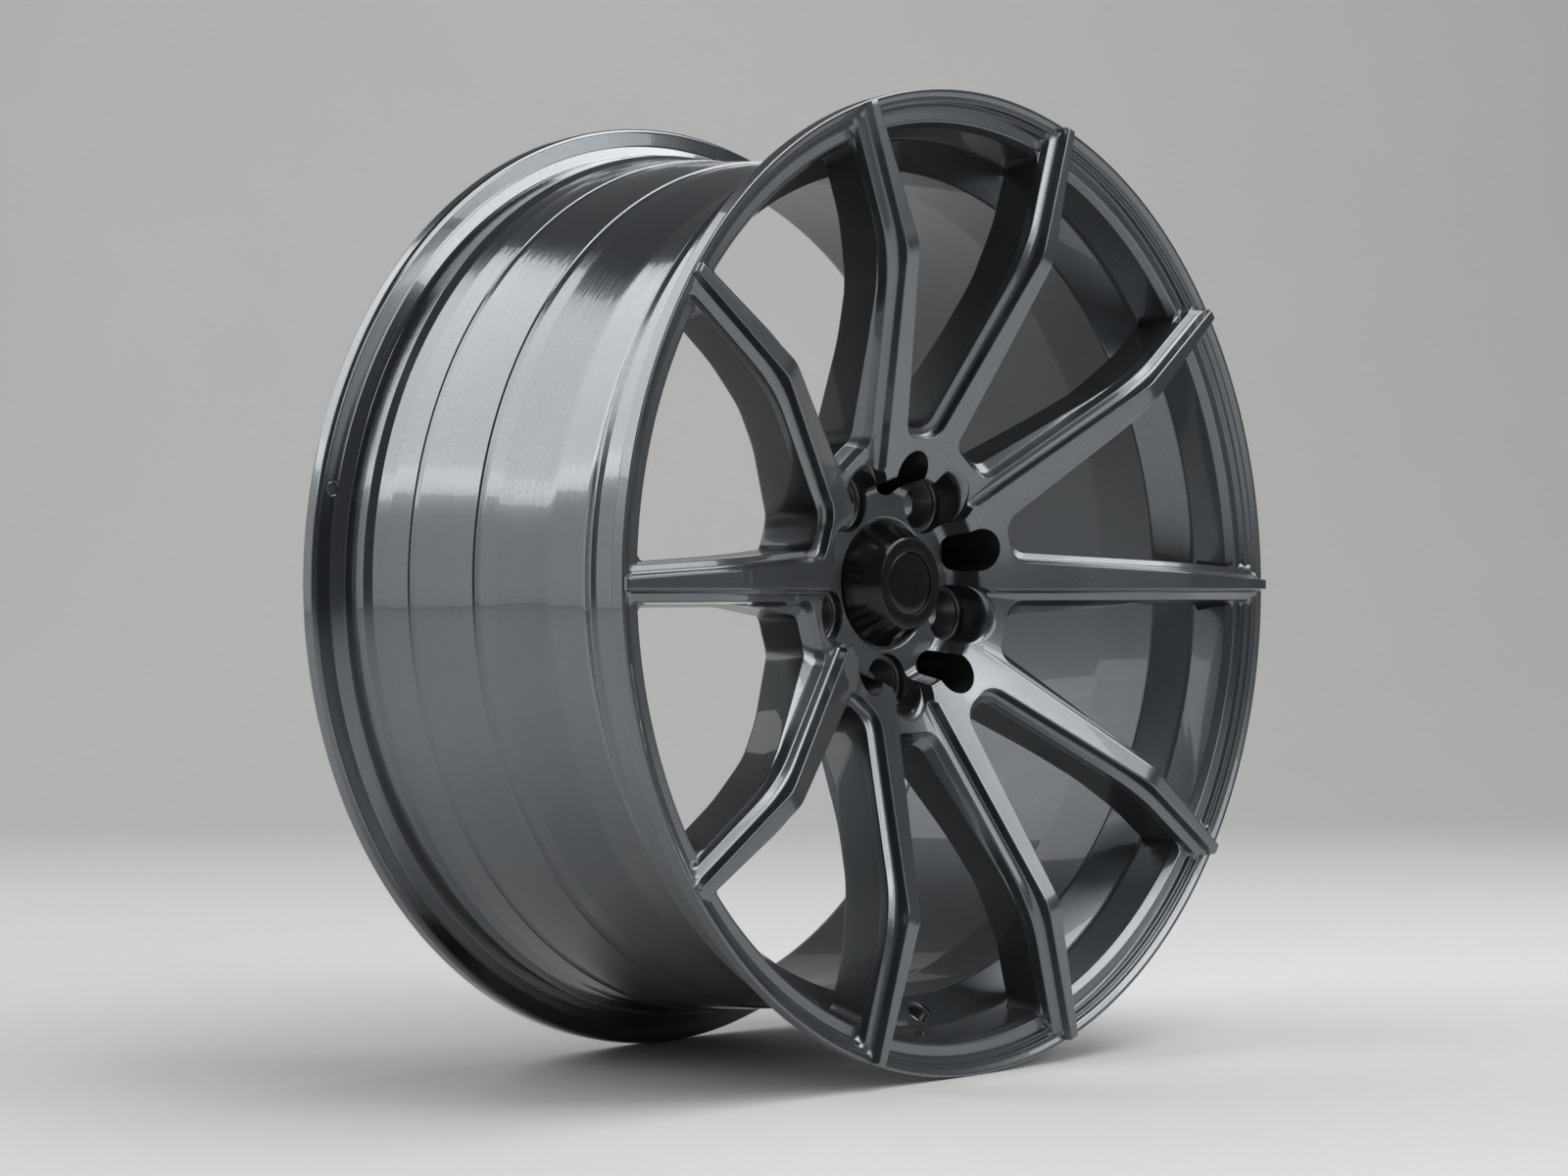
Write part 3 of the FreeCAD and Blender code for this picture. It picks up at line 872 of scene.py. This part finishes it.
def paint(name, share, roughness, coat, turned_lines=False):
    """Gunmetal metallic paint under clear coat, with fine flake, in a full or thin coat; a share
    below one darkens it as painted shade.
    """
    f = Finish(name)
    flake = f.add("ShaderNodeTexVoronoi", Scale=4500.0)
    f.link(f.place, flake.inputs["Vector"])
    grey = f.add("ShaderNodeSeparateColor")
    f.link(flake.outputs["Color"], grey.inputs["Color"])
    # a share below one darkens the paint: painted shade for the inside
    dark, light = opaque(PAINT_DARK, share), opaque(PAINT_LIGHT, share)
    spark = f.ramp(grey.outputs["Red"], (0.0, dark), (1.0, light))
    cloud = f.ramp(f.noise(9.0), (0.3, opaque(CLOUD_DARK)), (0.7, opaque(CLOUD_LIGHT)))
    mix = f.add("ShaderNodeMix", data_type="RGBA", blend_type="MULTIPLY")
    mix.inputs["Factor"].default_value = 1.0
    f.link(spark, mix.inputs["A"])
    f.link(cloud, mix.inputs["B"])
    f.drive("Base Color", mix.outputs["Result"])
    f.fix("Metallic", 0.92)
    f.fix("Coat Weight", coat)
    f.fix("Coat Roughness", 0.02)
    f.drive("Roughness", f.spread(f.noise(40.0, 4.0), *roughness))
    peel = f.bump(f.noise(260.0, 2.0), 0.00003, 0.18)
    if turned_lines:
        lines = f.noise(1.0, 4.0, (6.0, 900.0, 6.0))
        f.drive("Normal", f.bump(lines, 0.00012, 0.8))
        waves = f.noise(1.0, 2.0, (45.0, 420.0, 45.0))
        peel = f.bump(waves, 0.00025, 0.25, peel)
    else:
        f.drive("Normal", f.bump(f.noise(900.0, 2.0), 0.00002, 0.5))
    f.drive("Coat Normal", peel)
    return f.material


def plastic(name, tone, roughness):
    """Smooth black moulded plastic."""
    f = Finish(name)
    low, high = opaque(tone, 0.75), opaque(tone, 1.3)
    f.drive("Base Color", f.ramp(f.noise(60.0), (0.3, low), (0.7, high)))
    f.drive("Roughness", f.spread(f.noise(120.0), 0.7 * roughness, 1.3 * roughness))
    f.drive("Normal", f.bump(f.noise(700.0, 2.0), 0.00002, 0.4))
    f.fix("Specular IOR Level", 0.36)
    f.fix("Coat Weight", 0.06)
    f.fix("Coat Roughness", 0.04)
    return f.material


def steel(name):
    """Bright spring steel with drawn lines."""
    f = Finish(name)
    low, high = opaque(STEEL_DARK), opaque(STEEL_LIGHT)
    f.drive("Base Color", f.ramp(f.noise(300.0), (0.3, low), (0.7, high)))
    f.fix("Metallic", 1.0)
    f.drive("Roughness", f.spread(f.noise(200.0), 0.25, 0.4))
    lines = f.noise(1.0, 2.0, (60.0, 2500.0, 60.0))
    f.drive("Normal", f.bump(lines, 0.00003, 0.5))
    return f.material


def plain(name, tone, roughness):
    """A plain pale surface for the floor and backdrop."""
    f = Finish(name)
    low, high = opaque(tone, 0.98), opaque(tone)
    f.drive("Base Color", f.ramp(f.noise(3.0), (0.3, low), (0.7, high)))
    f.fix("Roughness", roughness)
    return f.material


def make_stage():
    """A pale floor that curves up into a backdrop behind the wheel."""
    bm = bmesh.new()
    forward = Vector((VIEW_X, VIEW_Y, 0.0)).normalized()
    side = Vector((forward.y, -forward.x, 0.0)) * FLOOR_HALF_WIDTH
    path = [(FLOOR_NEAR, 0.0), (FLOOR_FAR, 0.0)]
    for k in range(1, BACKDROP_STEPS + 1):
        t = math.radians(90.0 / BACKDROP_STEPS * k)
        out = FLOOR_FAR + BACKDROP_ROUND * math.sin(t)
        path.append((out, BACKDROP_ROUND - BACKDROP_ROUND * math.cos(t)))
    path.append((FLOOR_FAR + BACKDROP_ROUND, BACKDROP_TOP))
    rows = []
    for out, up in path:
        middle = forward * out + Vector((0.0, 0.0, FLOOR + up))
        rows.append([bm.verts.new(middle - side), bm.verts.new(middle + side)])
    for low, high in zip(rows, rows[1:]):
        bm.faces.new((low[0], low[1], high[1], high[0]))
    made = bpy.data.meshes.new("stage")
    bm.to_mesh(made)
    bm.free()
    made.shade_smooth()
    obj = linked("stage", made)
    obj.data.materials.append(plain("pale_floor", (0.74, 0.74, 0.74), 0.6))


def softbox(name, place, aim, width, height, watts):
    """A rectangular soft light."""
    data = bpy.data.lights.new(name, "AREA")
    data.shape = "RECTANGLE"
    data.size, data.size_y = width, height
    data.energy = watts
    obj = linked(name, data)
    obj.location = place
    obj.visible_camera = False
    obj.rotation_mode = "QUATERNION"
    obj.rotation_quaternion = (Vector(aim) - Vector(place)).to_track_quat("-Z", "Y")


def make_light():
    """Lights overhead, before the face, to the right and two on the barrel, in a low surround."""
    for lamp in LAMPS:
        softbox(*lamp)
    world = bpy.data.worlds.new("surround")
    bpy.context.scene.world = world
    world.use_nodes = True
    back = world.node_tree.nodes["Background"]
    back.inputs["Color"].default_value = (0.55, 0.57, 0.6, 1.0)
    back.inputs["Strength"].default_value = 0.2


def make_camera():
    """The photo's viewpoint."""
    data = bpy.data.cameras.new("camera")
    data.sensor_width = 36.0
    data.lens = 83.6
    obj = linked("camera", data)
    forward = Vector((VIEW_X, VIEW_Y, VIEW_Z)).normalized()
    side = forward.cross(Vector(VIEW_UP)).normalized()
    up = side.cross(forward)
    turn = Matrix((side, up, -forward)).transposed().to_4x4()
    obj.matrix_world = Matrix.Translation(VIEW_PLACE) @ turn
    bpy.context.scene.camera = obj


wheel = make_wheel()
wheel.data.materials[FULL_COAT] = paint("gunmetal_clearcoat", 1.0, (0.24, 0.36), 1.0)
wheel.data.materials[TURNED] = paint("gunmetal_turned", 1.0, (0.12, 0.2), 1.0, turned_lines=True)
# inside, deep walls, wells and pockets: rougher, thinner coat, with paint at half tone as painted
# shade
wheel.data.materials[SHADED_THIN_COAT] = paint("gunmetal_inside_painted_shade", 0.5, (0.34, 0.46), 0.4)
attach(wheel, "root")
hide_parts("wheel")

cap = make_cap()
cap.data.materials.clear()
cap.data.materials.append(plastic("gloss_black_cap", (0.006, 0.0065, 0.007), 0.14))
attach(cap, "root")
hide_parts("center_cap")

disc = make_disc()
disc.data.materials.append(plastic("gloss_black_disc", (0.005, 0.0055, 0.006), 0.08))
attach(disc, "root")
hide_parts("cap_emblem_disc")

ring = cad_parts["cap_retaining_ring"]
ring.data.materials.clear()
ring.data.materials.append(steel("spring_steel"))

make_stage()
make_light()
make_camera()
bpy.context.scene.view_settings.view_transform = "Standard"
